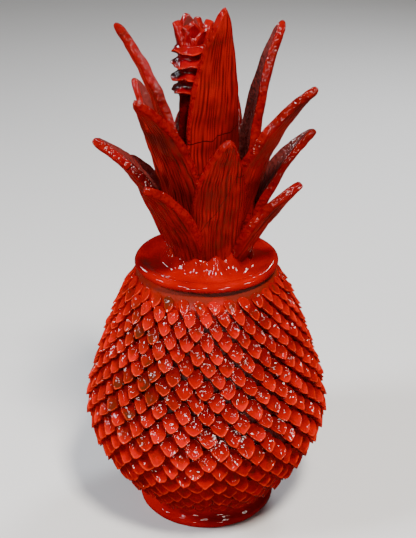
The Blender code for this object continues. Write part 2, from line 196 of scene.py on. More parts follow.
# Stalk behind the front leaf
STALK_PLACE = np.array([-12.0, 4.0]) * MM
STALK_TOP = 456.0 * MM
STALK_FOOT = np.array([(256.7, 24.0), (296.0, 21.5), (340.0, 14.0), (402.0, 11.5)]) * MM
STALK_COLUMNS = 84
COLLAR_HEIGHTS = np.array([415.5, 427.0, 438.5, 450.0]) * MM
COLLAR_HALF_THICKNESS = 2.9 * MM

# Prongs of the tuft on the stalk, with the columns that the leaves' list has
TUFT_PRONGS = [
    (-80, 8.0, 13.5, 474.0, 10, 15, 0.9), (-38, 6.5, 8.5, 471.0, 10, 17, 0.9),
    (8, 7.5, 8.0, 474.5, 8, 17, 0.9), (50, 6.0, 10.5, 469.0, 12, 15, 0.9),
    (92, 9.0, 15.5, 474.0, 10, 13, 0.9), (150, 7.0, 10.0, 475.0, 10, 16, 0.9),
    (215, 7.5, 9.5, 478.0, 10, 17, 0.9),
]
TUFT_ROOT_HEIGHT = 446.0
TUFT_THICKNESS = 8.5
TUFT_ROWS = 24
TUFT_FACE_COLUMNS = 20
TUFT_RIB_DEPTH = 0.5 * MM
TUFT_SEED = 700

# The glaze: the size in millimetres, detail and roughness of each unevenness in it, and how
# rough its surface is, from wet-looking to rubbed and on bare clay
GLAZE_NOISES = {
    "clouds": (43, 3.0, 0.5), "specks": (9, 5.0, 0.62), "smoke": (22, 3.0, 0.5), "edge": (5, 2.0, 0.5),
    "shine": (8, 3.0, 0.5), "lumps": (4.6, 1.0, 0.5),
}
SMOOTHEST, ROUGHEST = 0.03, 0.10
BARE_DULLNESS = 0.7
# Azimuth and spread in radians of the side that the kiln's smoke turned brown
SMOKE_AZIMUTH = -0.75
SMOKE_SPREAD = 0.42

# Places in metres of the small lamps round the pineapple, which only glint in the glaze, with
# their size. Those further to the left than SPOTS_COOL_FROM are bluish, like the window.
SPOT_SIZE = 0.19
SPOTS_COOL_FROM = -0.8
SPOTS = (
    (-0.95, -1.05, 1.2), (-0.15, -1.3, 1.55), (0.8, -1.2, 1.15), (1.35, -0.4, 1.2), (-1.45, -0.2, 1.2),
    (-0.5, -1.4, 0.4), (0.6, -1.4, 0.35), (0.6, 1.3, 1.3), (-1.0, 1.1, 1.2),
)


def linear(code):
    """Linear colour of an sRGB hex code: a channel c becomes ((c + 0.055) / 1.055) ** 2.4."""
    channels = np.array([int(code[i:i + 2], 16) for i in (1, 3, 5)]) / 255.0
    low = channels / 12.92
    high = ((channels + 0.055) / 1.055) ** 2.4
    return tuple(float(value) for value in np.where(channels <= 0.04045, low, high))


def length_of(name, description, default):
    """A setting that is a length in metres."""
    return bpy.props.FloatProperty(name=name, description=description, default=default, unit="LENGTH")


def colour_of(name, description, default):
    """A setting that is a linear colour."""
    return bpy.props.FloatVectorProperty(
        name=name, description=description, default=default, subtype="COLOR", size=3, min=0.0, max=1.0,
    )


class PineappleJar(bpy.types.PropertyGroup):
    """Sizes and colours of the jar."""

    height: length_of("Height", "From the ground to the rim under the lid", 251.2 * MM)
    foot_radius: length_of("Foot Radius", "Radius of the turned ring that the jar stands on", 66.2 * MM)
    waist_radius: length_of(
        "Waist Radius", "Radius of the groove between the foot and the scales", 60.5 * MM,
    )
    wall: length_of("Wall", "Thickness of the clay wall", 8.0 * MM)
    tip_lift: length_of("Tip Lift", "How far the biggest scale's tip stands off the wall", 7.6 * MM)
    face_hollow: length_of("Face Hollow", "Depth of the thumb mark in a scale's face", 2.9 * MM)


class PineappleLid(bpy.types.PropertyGroup):
    """Sizes of the lid's disc, mound and stalk."""

    seat: length_of("Seat", "Height of the disc's flat underside", 251.5 * MM)
    radius: length_of("Radius", "Radius of the disc's rolled edge", 65.6 * MM)
    edge: length_of("Edge", "Thickness of the disc at its edge", 8.2 * MM)
    mound_radius: length_of("Mound Radius", "Radius of the clay round the leaves' roots", 37.0 * MM)
    mound_height: length_of("Mound Height", "Height of the clay round the leaves' roots", 27.0 * MM)
    collar_reach: length_of("Collar Reach", "How far a ruffled collar stands off the stalk", 8.5 * MM)


class PineappleGlaze(bpy.types.PropertyGroup):
    """Colours of the glaze and the clay."""

    body: colour_of("Body", "Red on the scales, foot and shoulder", linear("#BC0303"))
    body_deep: colour_of("Body Deep", "Red on the body where the glaze is thicker", linear("#8A0202"))
    lid: colour_of("Lid", "Red on the lid's disc and mound", linear("#A00202"))
    lid_deep: colour_of("Lid Deep", "Red on the disc where the glaze is thicker", linear("#7C0101"))
    leaf: colour_of("Leaf", "Red on the leaves", linear("#A20B04"))
    leaf_deep: colour_of("Leaf Deep", "Red on the leaves where the glaze is thicker", linear("#600401"))
    leaf_edge: colour_of("Leaf Edge", "Crimson on the leaves' cut edges", linear("#7C020A"))
    leaf_edge_deep: colour_of(
        "Leaf Edge Deep", "Crimson on the cut edges where the glaze is thicker", linear("#500103"),
    )
    stalk: colour_of("Stalk", "Crimson on the stalk and its tuft", linear("#8A020C"))
    stalk_deep: colour_of("Stalk Deep", "Crimson on the stalk where the glaze is thicker", linear("#640108"))
    thin: colour_of("Thin", "Orange-red of glaze that lies thin on an edge", linear("#E23212"))
    # Pooled glaze, and also painted shade between and under the scales, low on the body, on the foot and
    # under the disc
    pooled_and_painted_shade: colour_of("Pooled", "Dark red of glaze that fills a groove", linear("#6C0301"))
    groove: colour_of("Groove", "Brown-black of the grooves combed into the leaves", linear("#540501"))
    scorched: colour_of("Scorched", "Brown of iron specks and smoked glaze", linear("#50200F"))
    # Partly thin glaze and partly a painted reflection on the leaves' inner faces
    dusty_and_painted_sheen: colour_of("Dusty", "Thinly glazed inner faces of the leaves", linear("#6A3430"))
    crack: colour_of("Crack", "Dirt in a crack", linear("#180402"))
    clay: colour_of("Clay", "Bare fired clay of the underside", linear("#B4633C"))


class PineappleStage(bpy.types.PropertyGroup):
    """Floor and lights."""

    floor: colour_of("Floor", "Colour of the plain floor", (0.76, 0.76, 0.76))
    world: bpy.props.FloatProperty(
        name="World", description="Strength of the even light from all round", default=0.05,
    )
    key: bpy.props.FloatProperty(
        name="Key", description="Power of the main soft light", default=58.0, unit="POWER",
    )
    spots: bpy.props.FloatProperty(
        name="Spots", description="Power of each small lamp that glints in the glaze",
        default=5.5, unit="POWER",
    )


def add_node(tree, kind, inputs, output=0, **settings):
    """Add a shader node with its settings. An input takes a socket to link or a value to keep."""
    node = tree.nodes.new("ShaderNode" + kind)
    for name, value in settings.items():
        setattr(node, name, value)
    for key, value in inputs.items():
        if isinstance(value, bpy.types.NodeSocket):
            tree.links.new(value, node.inputs[key])
        else:
            node.inputs[key].default_value = value
    return node.outputs[output]


def body_curve():
    """Smooth curve through BODY_CURVE by Catmull-Rom spans: heights, radii and lengths along it."""
    knots = BODY_CURVE
    padded = np.vstack([2 * knots[0] - knots[1], knots, 2 * knots[-1] - knots[-2]])
    t = np.linspace(0.0, 1.0, CURVE_SAMPLES, endpoint=False)[None, :, None]
    before, start, end, after = (padded[i:len(padded) - 3 + i, None, :] for i in range(4))
    spans = 0.5 * (
        2 * start + (end - before) * t
        + (2 * before - 5 * start + 4 * end - after) * t ** 2
        + (3 * start - before - 3 * end + after) * t ** 3
    )
    samples = np.vstack([spans.reshape(-1, 2), knots[-1:]])
    steps = np.hypot(*np.diff(samples, axis=0).T)
    return samples[:, 0], samples[:, 1], np.concatenate([[0.0], np.cumsum(steps)])


CURVE_HEIGHTS, CURVE_RADII, CURVE_LENGTHS = body_curve()
CURVE_LENGTH = CURVE_LENGTHS[-1]
CURVE_RISE = np.gradient(CURVE_HEIGHTS, CURVE_LENGTHS)
CURVE_SPREAD = np.gradient(CURVE_RADII, CURVE_LENGTHS)
ROW_STEP = CURVE_LENGTH / (SCALE_ROWS + 1)
SCALE_PITCH = TURN / SCALES_AROUND


def wall_place(distance, lift):
    """Radius and height on the body: the curve's point at a distance down from the shoulder,
    moved by the lift along the curve's outward normal."""
    along = CURVE_LENGTH - distance
    radius = np.interp(along, CURVE_LENGTHS, CURVE_RADII)
    height = np.interp(along, CURVE_LENGTHS, CURVE_HEIGHTS)
    outwards = np.interp(along, CURVE_LENGTHS, CURVE_RISE)
    upwards = -np.interp(along, CURVE_LENGTHS, CURVE_SPREAD)
    beyond = np.maximum(along - CURVE_LENGTH, 0.0)
    radius = radius + beyond * CURVE_SPREAD[-1]
    height = height + beyond * CURVE_RISE[-1]
    return radius + lift * outwards, height + lift * upwards


def around(azimuth, radius, height):
    """Points at an azimuth, which is 0 at the front and grows towards +X."""
    return np.stack(np.broadcast_arrays(
        radius * np.sin(azimuth), -radius * np.cos(azimuth), height,
    ), axis=-1)


def lathe(profile, columns):
    """A profile of radii and heights carried round the axis, and its azimuths."""
    azimuth = np.linspace(0.0, TURN, columns, endpoint=False)
    return around(azimuth, profile[:, :1], profile[:, 1:]), azimuth


def ripple(points, size, seed, waves=9):
    """Smooth unevenness between about -1 and 1: the mean of a few sine waves in random
    directions, whose lengths lie round the given size."""
    chance = np.random.default_rng(seed)
    directions = chance.normal(size=(waves, 3))
    directions /= np.linalg.norm(directions, axis=1, keepdims=True)
    lengths = size * chance.uniform(0.7, 1.5, waves)
    phases = chance.uniform(0.0, TURN, waves)
    angle = points @ (directions * (TURN / lengths[:, None])).T + phases
    return np.sin(angle).sum(axis=-1) / math.sqrt(waves)


def smooth_step(low, high, value):
    """0 below low, 1 above high and 3t² - 2t³ between."""
    t = np.clip((value - low) / (high - low), 0.0, 1.0)
    return t * t * (3 - 2 * t)


def closed_surface(name, grid, first, last, fields, material):
    """Mesh object of one or more closed surfaces. The grid holds row, column and xyz, with the
    surface before them if there are several; columns run round and rows run from the first pole
    to the last, so that down crossed with round points out. Each field is one number per grid
    point, kept as an attribute."""
    grid = grid.reshape(-1, *grid.shape[-3:])
    count, rows, columns = grid.shape[:3]
    stride = rows * columns + 2
    points = np.concatenate([
        grid.reshape(count, -1, 3), first.reshape(count, 1, 3), last.reshape(count, 1, 3),
    ], axis=1)
    row, column = np.meshgrid(np.arange(rows - 1), np.arange(columns), indexing="ij")
    here = row * columns + column
    beside = row * columns + (column + 1) % columns
    quads = np.stack([here, here + columns, beside + columns, beside], axis=-1).reshape(-1, 4)
    spoke = np.arange(columns)
    after = (spoke + 1) % columns
    low = (rows - 1) * columns
    top = np.stack([np.full(columns, rows * columns), spoke, after], axis=-1)
    bottom = np.stack([np.full(columns, rows * columns + 1), low + after, low + spoke], axis=-1)
    shift = (np.arange(count) * stride)[:, None, None]
    quads = (quads + shift).reshape(-1, 4)
    fans = (np.vstack([top, bottom]) + shift).reshape(-1, 3)
    mesh = bpy.data.meshes.new(name)
    mesh.from_pydata(points.reshape(-1, 3), [], quads.tolist() + fans.tolist())
    for field, values in fields.items():
        values = np.broadcast_to(values, grid.shape[:3])
        ends = np.stack([values[:, 0].mean(axis=1), values[:, -1].mean(axis=1)], axis=1)
        flat = np.concatenate([values.reshape(count, -1), ends], axis=1).ravel()
        mesh.attributes.new(field, "FLOAT", "POINT").data.foreach_set("value", flat.astype(np.float32))
    mesh.shade_smooth()
    mesh.materials.append(material)
    piece = bpy.data.objects.new(name, mesh)
    bpy.context.scene.collection.objects.link(piece)
    return piece


def place(piece, node):
    """Let a piece ride on the body in place of a node of the frame."""
    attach(piece, BODY)
    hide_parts(node)


def read(data, field, kind, width=1):
    """All values of one field of a mesh's data as an array."""
    values = np.zeros(width * len(data), dtype=kind)
    data.foreach_get(field, values)
    return values


def glaze_faces(piece, material):
    """Give a leaf's combed outer face, where the attribute dull is over a half, its own glaze."""
    mesh = piece.data
    dull = read(mesh.attributes["dull"].data, "value", np.float32)
    corners = read(mesh.loops, "vertex_index", np.int32)
    starts = read(mesh.polygons, "loop_start", np.int32)
    mesh.materials.append(material)
    mesh.polygons.foreach_set("material_index", (dull[corners[starts]] > 0.5).astype(np.int32))


def add_subdivision(piece):
    """One level of subdivision, the same in the view and the render, that keeps the lips of the
    scales sharp: an edge is creased where both its ends have the attribute lip."""
    mesh = piece.data
    lip = read(mesh.attributes["lip"].data, "value", np.float32)
    ends = read(mesh.edges, "vertices", np.int32, 2)
    crease = lip[ends.reshape(-1, 2)].min(axis=1)
    mesh.attributes.new("crease_edge", "FLOAT", "EDGE").data.foreach_set("value", crease)
    modifier = piece.modifiers.new("rounding", "SUBSURF")
    modifier.levels = 1
    modifier.render_levels = 1


def glaze(name, part, glazes, bump, scorch=0.6, satin=0.0, cracked=False, reflection=0.36,
          lip=(0.0, 1.0), pool=None):
    """Lead-style red glaze, poured and brushed over carved earthenware and fired once, in the
    two reds of a part. A piece's attributes say where it lies thin on an edge (rim), where it is
    darkened (deep): glaze pooled in the leaves' grooves and the mound's pits, painted shade
    between, under and low on the scales, on the foot and under the disc, and a darker red on the
    shoulder band, the stalk and the jar's inside; where it is freckled by iron (hollow), went
    brown in the smoke (stain), is lumpy (rough), dull or bare."""
    material = bpy.data.materials.new(name)
    material.use_nodes = True
    tree = material.node_tree
    shader = tree.nodes["Principled BSDF"]
    spot = add_node(tree, "TexCoord", {}, "Object")
    marks = {
        mark: add_node(tree, "Attribute", {}, "Fac", attribute_name=mark)
        for mark in ("tone", "hollow", "stain", "rim", "deep", "bare", "dull", "rough", "crack", "inner")
    }
    noises = {
        noise: add_node(tree, "TexNoise", {
            "Vector": spot, "Scale": 1 / (size * MM), "Detail": detail, "Roughness": fine,
        })
        for noise, (size, detail, fine) in GLAZE_NOISES.items()
    }
    # Brushed-on glaze is thicker in some places, which gives the eye darker red clouds
    clouds = add_node(tree, "Math", {0: noises["clouds"], 1: marks["tone"]}, operation="ADD")
    clouds = add_node(tree, "MapRange", {0: clouds, 1: 0.38, 2: 0.66})
    # Iron in the clay burns through the glaze in the hollows, which gives brown specks, and the
    # kiln's smoke leaves brown patches
    specks = add_node(tree, "MapRange", {0: noises["specks"], 1: 0.50, 2: 0.64, 4: scorch})
    specks = add_node(tree, "Math", {0: specks, 1: marks["hollow"]}, operation="MULTIPLY")
    smoke = add_node(tree, "MapRange", {0: noises["smoke"], 1: 0.40, 2: 0.52})
    smoke = add_node(tree, "Math", {0: smoke, 1: marks["stain"]}, operation="MULTIPLY")
    specks = add_node(tree, "Math", {0: specks, 1: smoke}, operation="MAXIMUM")
    # Melted glaze runs off an edge, which leaves a thin lighter orange line on it
    edge = add_node(tree, "MapRange", {0: noises["edge"], 1: 0.25, 2: 0.55})
    rim = add_node(tree, "MapRange", {0: marks["rim"], 1: lip[0], 2: lip[1]})
    edge = add_node(tree, "Math", {0: edge, 1: rim}, operation="MULTIPLY")
    # The leaves' inner faces took little glaze, and their pinkish grey is also a painted reflection of the
    # room
    dusty_and_painted_sheen = add_node(tree, "Math", {0: marks["inner"], 1: 0.6}, operation="MULTIPLY")
    # Where it runs into the grooves the glaze lies so thick that it looks nearly black. The same dark red is
    # painted shade in the crevices between and under the scales, low on the body, on the foot and under the
    # disc.
    layers = [
        (clouds, getattr(glazes, f"{part}_deep")), (specks, glazes.scorched), (edge, glazes.thin),
        (dusty_and_painted_sheen, glazes.dusty_and_painted_sheen), (marks["deep"], pool or glazes.pooled_and_painted_shade),
    ]
    if cracked:
        # Dirt has gone into the cracks, which are dark hairlines
        gap = add_node(tree, "Math", {0: marks["crack"]}, operation="ABSOLUTE")
        gap = add_node(tree, "MapRange", {0: gap, 1: 0.25, 2: 0.7, 3: 0.95, 4: 0.0})
        layers.append((gap, glazes.crack))
    # The underside was wiped clean for the kiln shelf, so it is dull orange fired clay
    layers.append((marks["bare"], glazes.clay))
    colour = (*getattr(glazes, part), 1.0)
    for share, over in layers:
        mixed = {0: share, 6: colour, 7: (*over, 1.0)}
        colour = add_node(tree, "Mix", mixed, 2, data_type="RGBA")
    tree.links.new(colour, shader.inputs["Base Color"])
    # The fired glass is shiny, a little less where it is thin, and dull on bare or rubbed clay
    shine = add_node(tree, "MapRange", {
        0: noises["shine"], 1: 0.35, 2: 0.65, 3: SMOOTHEST, 4: ROUGHEST,
    })
    for mark, dullness in (("dull", satin), ("bare", BARE_DULLNESS)):
        duller = {0: marks[mark], 1: dullness, 2: shine}
        shine = add_node(tree, "Math", duller, operation="MULTIPLY_ADD")
    tree.links.new(shine, shader.inputs["Roughness"])
    shader.inputs["IOR"].default_value = 1.5
    shader.inputs["Specular IOR Level"].default_value = reflection
    # Grog and bubbles under the glaze give sparkles. They are drawn wider than they are on the
    # real clay, because finer ones are too small to show.
    strength = add_node(tree, "MapRange", {0: marks["rough"], 3: 0.15 * bump, 4: bump})
    relief = add_node(tree, "Bump", {
        "Height": noises["lumps"], "Strength": strength, "Distance": 3.0 * MM,
    })
    tree.links.new(relief, shader.inputs["Normal"])
    return material


def jar_profile(jar):
    """Radii and heights of the jar's smooth clay from the middle of its floor, up the inside,
    over the rim, down the wall under the scales and round the foot to the underside. With them
    go three rows of 0 or 1: covered by scales, bare clay, and hidden inside."""
    seat = jar.height
    floor_radius = jar.waist_radius - jar.wall
    shares = np.linspace(0.05, 0.90, 40)
    inner_radius, inner_height = wall_place(shares[::-1] * CURVE_LENGTH, -jar.wall)
    corner = np.linspace(0.0, 0.5 * math.pi, 6)
    flat = floor_radius - FLOOR_ROUNDING
    inside = [
        np.stack([np.linspace(FLOOR_ROUNDING, flat, 6), np.full(6, FLOOR_HEIGHT)], 1),
        np.stack([
            flat + FLOOR_ROUNDING * np.sin(corner),
            FLOOR_HEIGHT + FLOOR_ROUNDING - FLOOR_ROUNDING * np.cos(corner),
        ], 1),
        np.stack([np.maximum(inner_radius, MOUTH_RADIUS), inner_height], 1),
        np.array([(MOUTH_RADIUS, seat - 8 * MM)]),
    ]
    rim = [
        np.stack([
            middle + RIM_ROUNDING * np.cos(arc), seat - RIM_ROUNDING + RIM_ROUNDING * np.sin(arc),
        ], 1)
        for middle, arc in (
            (MOUTH_RADIUS + RIM_ROUNDING, np.linspace(math.pi, 0.5 * math.pi, 4)),
            (RIM_RADIUS, np.linspace(0.5 * math.pi, 0.1, 5)),
        )
    ]
    start = CURVE_RADII[-1]
    band = np.array([(start - 3.4 * MM, seat - 3.4 * MM), (start - 1.2 * MM, seat - 5.6 * MM)])
    shares = np.linspace(0.0, 1.0, 60)
    sink = 0.3 + 1.5 * smooth_step(0.02, 0.06, shares) * (1 - smooth_step(0.94, 0.98, shares))
    wall = np.stack(wall_place(shares * CURVE_LENGTH, -sink * MM), 1)
    turned = np.vstack([
        WAIST_PROFILE + (jar.waist_radius, 0.0), FOOT_PROFILE + (jar.foot_radius, 0.0), UNDERSIDE,
    ])
    pieces = [*inside, *rim, band, wall, turned]
    covered, hidden = (
        np.concatenate([np.full(len(p), float(test)) for p, test in zip(pieces, tests)])
        for tests in ([p is wall for p in pieces], [i < len(inside) for i in range(len(pieces))])
    )
    bare = np.zeros(len(covered))
    bare[-BARE_POINTS:] = 1.0
    return np.vstack(pieces), covered, bare, hidden


def jar_wall(jar):
    """The turned pot: its profile carried round the axis, with a little unevenness along the
    surface where the hands pressed it."""
    profile, covered, bare, hidden = jar_profile(jar)
    grid, azimuth = lathe(profile, JAR_COLUMNS)
    shoulder = smooth_step(238 * MM, 246 * MM, grid[..., 2])
    push = 1.0 + ripple(grid, 34 * MM, 21) * (0.006 * shoulder + 0.003) * (1 - bare[:, None])
    grid[..., :2] *= push[..., None]
    foot = 1 - smooth_step(16 * MM, 22 * MM, grid[..., 2])
    wavy = ripple(around(azimuth, 1.0, 0.0), 0.55, 5)
    covered = covered[:, None] * smooth_step(2.0, 9.0, (241 * MM - grid[..., 2]) / MM + 1.5 * wavy)
    fields = {
        # Painted shade: deep darkens the wall between and under the scales and the foot; it also makes the
        # shoulder band and the hidden inside darker
        "deep": np.clip(0.92 * covered + 0.25 * hidden[:, None] + 0.25 * foot + 0.6 * shoulder, 0, 0.95),
        "hollow": 1.0 * shoulder,
        "bare": np.clip(bare[:, None] + 0.05 * shoulder * (1 - covered), 0, 1),
        "stain": 0.7 * shoulder,
        "dull": np.clip(0.35 * covered + 0.45 * shoulder, 0, 1),
        "rough": np.clip(covered + 0.4 * shoulder, 0, 1),
    }
    floor = np.array([0.0, 0.0, profile[0, 1]])
    under = np.array([0.0, 0.0, profile[-1, 1]])
    return grid, floor, under, fields


def tab_climb(v):
    """Share of the full lift at a place down a tab."""
    return np.clip((v - TAB_TOP) / (TAB_LOWEST - TAB_TOP), 0.0, 1.2) ** TAB_CLIMB


def scale_tabs(jar, rows):
    """Pinched tabs of the given rows, as arrays of tab, ring and outline point. In a tab's own
    plane the outline is a shield, drawn in rings round its middle. Its face rises from the
    crevice above to the lip in proportion to the way down to the power TAB_CLIMB, less a hollow
    of depth h (1 - ring³). Its size goes with the body's radius to the power 0.7, and its lip
    is creased, most of all at the corners."""
    chance = np.random.default_rng(SCALE_SEED)
    unevenness = chance.uniform(-LIFT_CHANGE, LIFT_CHANGE, (SCALE_ROWS, SCALES_AROUND))
    traits = chance.uniform(-1.0, 1.0, (8, SCALE_ROWS, SCALES_AROUND))
    dents = chance.uniform(-1.0, 1.0, (2, SCALE_ROWS, SCALES_AROUND, len(TAB_OUTLINE)))
    row, column = np.meshgrid(rows, np.arange(SCALES_AROUND), indexing="ij")
    row, column = row.reshape(-1, 1, 1), column.reshape(-1, 1, 1)
    slide, widen, lengthen, twist, deepen, tilt, skew, tone = traits[:, row, column]
    dent_across, dent_down = dents[:, row[:, 0], column[:, 0]]
    across = TAB_OUTLINE[:, 0] - TAB_CENTRE[0] + DENT_ACROSS * dent_across
    down = TAB_OUTLINE[:, 1] - TAB_CENTRE[1] + DENT_DOWN * dent_down
    small = 1 - LOW_SHRINK * smooth_step(SCALE_ROWS - 6, SCALE_ROWS - 1, row)
    across = (across * (1 + SIZE_CHANGE * widen) + SKEW * skew * down) * small
    down = (down * (1 + SIZE_CHANGE * lengthen) + TWIST * twist * across) * small
    cut_short = np.select([row < 0, row == 0], TOP_TABS_SHORTER, 0.0)
    down = np.where(down < 0, down * (1 - cut_short), down)
    rings = np.concatenate([TAB_FACE_RINGS, TAB_UNDER_RINGS[:, 0]])[:, None]
    u = TAB_CENTRE[0] + SLIDE * slide + rings * across
    v = TAB_CENTRE[1] + rings * down
    azimuth = (column + 0.5 * (row % 2)) * SCALE_PITCH
    radius = np.interp(CURVE_LENGTH - (row + 2) * ROW_STEP, CURVE_LENGTHS, CURVE_RADII)
    size = (radius / CURVE_RADII.max()) ** 0.7
    full = (jar.tip_lift * size + unevenness[row, column]) * np.where(row < 0, 0.6, 1.0)
    hollow = np.concatenate([1 - TAB_FACE_RINGS ** 3, [0.0, 0.0]])[:, None]
    open_above = np.select([row < 0, row == 0], [1.0, 0.6], 0.0)
    depth = jar.face_hollow * size * (1 + 0.5 * deepen) * (1 - 0.7 * open_above)
    climb = tab_climb(v)
    lift = full * climb + TILT * tilt * (u - TAB_CENTRE[0]) / 0.33 * climb - depth * hollow
    drop = np.concatenate([np.zeros(len(TAB_FACE_RINGS)), TAB_UNDER_RINGS[:, 1]])[:, None] * MM
    under = np.maximum(full * tab_climb(TAB_CENTRE[1] + down) - drop * size, -3.0 * MM)
    is_under = np.arange(len(rings))[:, None] >= len(TAB_FACE_RINGS)
    middle_azimuth = azimuth + TAB_CENTRE[0] * SCALE_PITCH
    azimuth = azimuth + u * SCALE_PITCH
    grid = around(azimuth, *wall_place((row + v) * ROW_STEP, np.where(is_under, under, lift)))
    lumps = ripple(grid, 6 * MM, 3) * 0.5 * MM * size
    grid[..., 0] += lumps * np.sin(azimuth)
    grid[..., 1] -= lumps * np.cos(azimuth)
    middle, root = (
        around(middle_azimuth, *wall_place((row + TAB_CENTRE[1]) * ROW_STEP, height))
        for height in (full * tab_climb(TAB_CENTRE[1]) - depth, -4.0 * MM)
    )
    height_share = grid[..., 2] / CURVE_HEIGHTS[-1]
    nearest = azimuth + TURN * np.round(-azimuth / TURN)
    stain = np.exp(-((nearest - SMOKE_AZIMUTH) / SMOKE_SPREAD) ** 2)
    stain = stain * smooth_step(0.38, 0.55, height_share)
    # Painted shade: the upper part of each face, under the lips of the row above, is darkened with the
    # pooled red
    crevice = 0.95 * (1 - smooth_step(0.85, 1.78, v)) * (1 - open_above)
    # Painted shade: the lowest rows are darkened towards the foot
    low_rows_painted_shade = 0.8 * (1 - smooth_step(0.02, 0.42, height_share))
    # The second of these ring rows paints shade on each tab's underside, under its lip
    rim_rings, under_lip_painted_shade, lip_rings = (np.array(rings_of)[:, None] for rings_of in (
        (0.30, 0.55, 1.0, 0.0, 0.0), (0.0, 0.0, 0.0, 0.5, 1.0), (0.0, 0.0, 0.6, 0.2, 0.0),
    ))
    fields = {
        "rim": rim_rings * smooth_step(0.75, 1.55, v),
        "deep": np.clip(np.maximum(under_lip_painted_shade, crevice) + low_rows_painted_shade, 0, 0.96),
        "hollow": np.sqrt(hollow) * (1 - 0.6 * smooth_step(1.2, 1.8, v)),
        "stain": np.clip(stain * (0.75 + 0.5 * tone), 0, 1),
        "rough": 1 - 0.55 * smooth_step(1.30, 1.80, v),
        "lip": lip_rings,
        "crease_vert": np.where(rings == 1.0, TAB_CORNERS, 0.0),
        "tone": 0.12 * tone,
    }
    return grid, middle, root, fields


def leaf_width(share, root_width):
    """Width as a share of the full width: a quarter sine up from the root to the widest place,
    then a power curve down to the tip."""
    swell = np.sin(0.5 * math.pi * np.minimum(share / LEAF_WIDEST_AT, 1.0))
    wide = root_width + (1 - root_width) * swell
    taper = np.clip((share - LEAF_WIDEST_AT) / (1 - LEAF_WIDEST_AT), 0.0, 1.0)
    narrow = LEAF_TIP_WIDTH + (1 - LEAF_TIP_WIDTH) * (1 - taper ** LEAF_TAPER)
    return np.where(share < LEAF_WIDEST_AT, wide, narrow)


def slab_section(face_columns):
    """Unit section of a leaf as a rounded slab, anticlockwise from the left end of the outer
    face. Each stretch gives its places on the flat parts and the corner arcs' offsets, across
    and in depth. The last two rows mark the outer and the inner face."""
    turn = np.linspace(0.0, 0.5 * math.pi, 5)[1:-1]
    edge = np.linspace(1.0, -1.0, 5)
    rise, fall = np.sin(turn), np.cos(turn)
    stretches = [
        (np.linspace(-1.0, 1.0, face_columns), 0, 1, 1, 1, 0), (1, rise, 1, fall, 0, 0),
        (1, 1, edge, 0, 0, 0), (1, fall, -1, -rise, 0, 0),
        (np.linspace(1.0, -1.0, LEAF_BACK_COLUMNS), 0, -1, -1, 0, 1), (-1, -rise, -1, -fall, 0, 0),
        (-1, -1, -edge, 0, 0, 0), (-1, -fall, 1, rise, 0, 0),
    ]
    return np.hstack([np.stack(np.broadcast_arrays(*stretch)) for stretch in stretches])


def ribs(across, along, seed):
    """Depth from 0 to 1 of the grooves drawn along a leaf: narrow valleys of a cosine across
    it, whose spacing, strength and course drift a little from groove to groove."""
    chance = np.random.default_rng(seed)
    phase = chance.uniform(0.0, 6.0, 4)
    drift = 0.45 * np.sin(across / (5.3 * MM) + phase[0]) + 0.25 * np.sin(across / (2.1 * MM) + phase[1])
    course = 0.30 * np.sin(along / (31 * MM) + phase[2]) + 0.15 * np.sin(along / (11 * MM) + phase[3])
    turn = across / RIB_PITCH + drift + course
    valley = (0.5 + 0.5 * np.cos(TURN * turn)) ** 2
    spots = np.stack([across * 1.0, along * 0.16, np.full(across.shape, 0.001 * seed)], axis=-1)
    strength = np.clip(0.72 + 0.45 * ripple(spots, 4.5 * MM, seed + 50), 0.0, 1.0)
    return valley * strength


